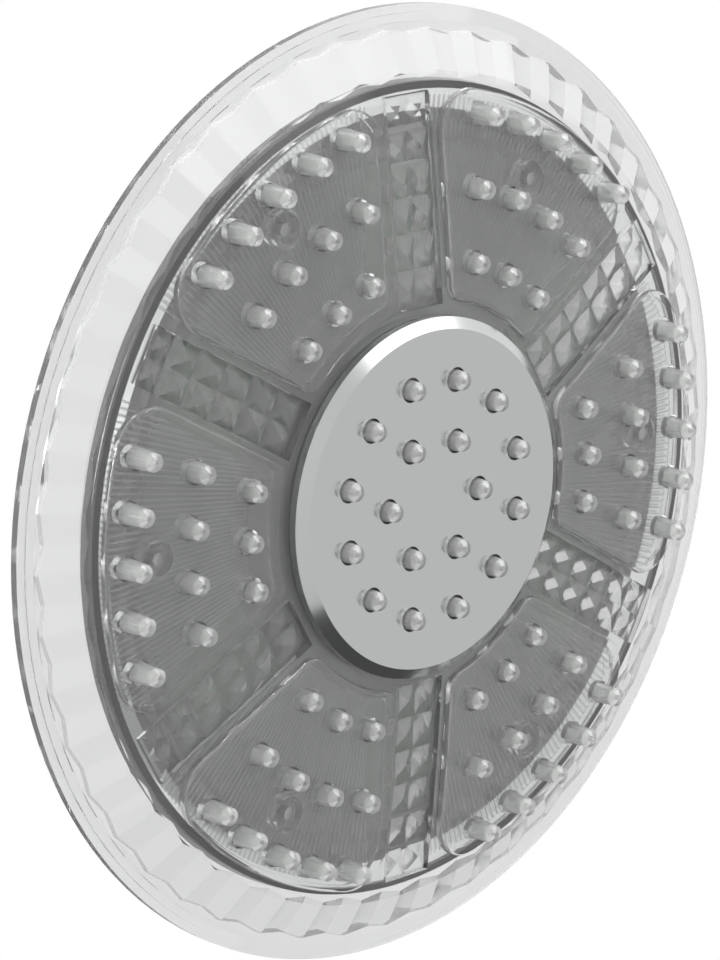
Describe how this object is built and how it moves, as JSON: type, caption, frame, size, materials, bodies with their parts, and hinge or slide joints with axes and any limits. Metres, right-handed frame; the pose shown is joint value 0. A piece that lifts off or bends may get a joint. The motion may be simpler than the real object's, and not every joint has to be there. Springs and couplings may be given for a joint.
{
  "type": "led shower head",
  "caption": "Round clear shower head with petal-shaped nozzle fields, prism windows, a chrome centre disc and a turbine-lit LED ring, on a ball joint with a threaded nut.",
  "frame": {"origin": "middle of the inlet nut's mouth", "axes": "+Z out of the inlet's mouth, back up the supply pipe; the spray face looks along -Z; +X runs along the middle of one petal"},
  "size_m": [0.2, 0.2, 0.0824],
  "materials": {
    "chrome": "polished plating",
    "satin_chrome": "satin plating",
    "clear_plastic": "clear, polished",
    "frosted_plastic": "clear, ribbed",
    "silicone": "translucent",
    "black_rubber": "matt",
    "white_plastic": "matt",
    "dark_plastic": "matt dark grey",
    "green_board": "solder mask",
    "led_white": "chip with a lens",
    "steel": "plain",
    "copper": "enamelled wire",
    "bronze": "sintered",
    "magnet": "ferrite"
  },
  "bodies": {
    "nut": {"union_nut": "chrome"},
    "stem": {"ball_stem": "chrome", "inlet_washer": "black_rubber", "filter_screen": "steel", "flow_restrictor": "white_plastic"},
    "seat": {"ball_seat": "white_plastic"},
    "head": {"hub": "chrome", "hub_seal": "black_rubber", "retaining_collar": "chrome", "back_cover": "chrome", "face_plate": "clear_plastic", "centre_disc": "satin_chrome", "centre_mat": "silicone", "chamber_gasket": "silicone", "chamber_plate": "frosted_plastic", "led_board": "green_board", "leds": "led_white", "reflector": "dark_plastic", "screws": "steel", "generator_housing": "dark_plastic", "jet_plate": "white_plastic", "lower_bush": "bronze", "upper_bush": "bronze", "coil_bobbin": "white_plastic", "stator_coil": "copper", "nozzle_mat_1": "silicone", "nozzle_mat_2": "silicone", "nozzle_mat_3": "silicone", "nozzle_mat_4": "silicone", "nozzle_mat_5": "silicone", "nozzle_mat_6": "silicone"},
    "turbine": {"turbine_shaft": "steel", "impeller": "white_plastic", "magnet_ring": "magnet"}
  },
  "joints": [
    {"name": "stem_swivel", "type": "hinge", "parent": "nut", "child": "stem", "pos_m": [0, 0, 0], "axis": [0, 0, 1], "continuous": true},
    {"name": "head_tilt", "type": "hinge", "parent": "stem", "child": "seat", "pos_m": [0, 0, -0.03021], "axis": [1, 0, 0], "range_deg": [-15, 15]},
    {"name": "head_spin", "type": "hinge", "parent": "seat", "child": "head", "pos_m": [0, 0, -0.03021], "axis": [0, 0, 1], "continuous": true},
    {"name": "turbine_spin", "type": "hinge", "parent": "head", "child": "turbine", "pos_m": [0, 0, -0.03021], "axis": [0, 0, 1], "continuous": true}
  ]
}
